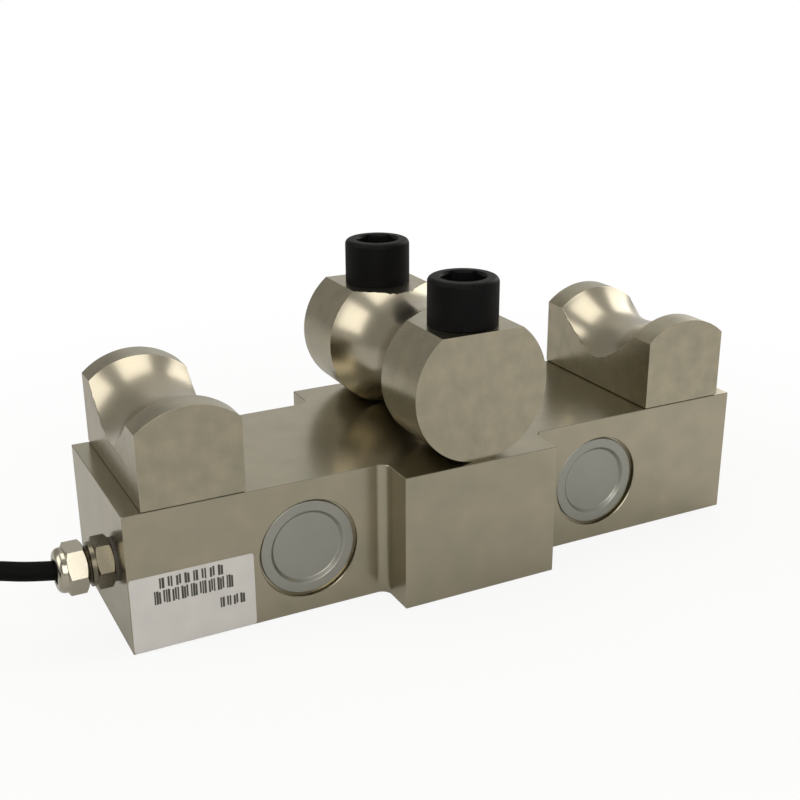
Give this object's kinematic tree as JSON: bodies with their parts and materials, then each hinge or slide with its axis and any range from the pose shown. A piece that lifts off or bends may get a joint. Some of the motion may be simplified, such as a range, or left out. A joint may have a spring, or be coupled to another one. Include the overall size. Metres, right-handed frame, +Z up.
{
  "type": "wire rope tension sensor",
  "caption": "Bar load cell for a wire rope: grooved saddles at both ends, a grooved round clamp with two cap screws in the middle, round gauge covers, and a cable.",
  "frame": {"origin": "middle of the measuring bar's bottom face, under the centre clamp", "axes": "+X along the bar and the rope, away from the cable end; +Y from the labelled front face to the rear face; +Z up from the bottom face"},
  "size_m": [0.4459, 0.1217, 0.1086],
  "materials": {
    "bar_steel": "nickel-plated alloy steel, milled, satin, slightly warm",
    "saddle_steel": "nickel-plated steel, satin cheeks and a polished groove",
    "clamp_steel": "nickel-plated steel, satin flanges and a polished groove",
    "cover_steel": "thin stainless sheet, matt blue-grey",
    "black_oxide": "black oxide on alloy steel, satin",
    "zinc_screw": "zinc-plated steel",
    "dowel_steel": "ground hardened steel",
    "gland_nickel": "nickel-plated brass, bright",
    "seal_rubber": "black rubber",
    "label_foil": "pale silver polyester foil, printed in dark grey",
    "cable_jacket": "black matt cable jacket",
    "core_insulation": "coloured core insulation with tinned ends",
    "gauge_foil": "amber polyimide foil",
    "circuit_board": "green circuit board"
  },
  "bodies": {
    "root": {"sensor_body": "bar_steel", "left_saddle": "saddle_steel", "right_saddle": "saddle_steel", "centre_clamp": "clamp_steel", "front_clamp_screw": "black_oxide", "rear_clamp_screw": "black_oxide", "left_saddle_screw": "zinc_screw", "right_saddle_screw": "zinc_screw", "saddle_dowels": "dowel_steel", "front_left_cover": "cover_steel", "front_right_cover": "cover_steel", "rear_left_cover": "cover_steel", "rear_right_cover": "cover_steel", "front_left_gauge": "gauge_foil", "front_right_gauge": "gauge_foil", "rear_left_gauge": "gauge_foil", "rear_right_gauge": "gauge_foil", "solder_terminals": "circuit_board", "bridge_board": "circuit_board", "bridge_leads": "core_insulation", "gland_washer": "seal_rubber", "gland_body": "gland_nickel", "gland_seal": "seal_rubber", "gland_nut": "gland_nickel", "name_label": "label_foil", "cable_inner_end": "cable_jacket", "cable_inner_cores": "core_insulation", "cable_tube": "cable_jacket", "cable_coil": "cable_jacket", "cable_free_cores": "core_insulation"}
  },
  "joints": []
}
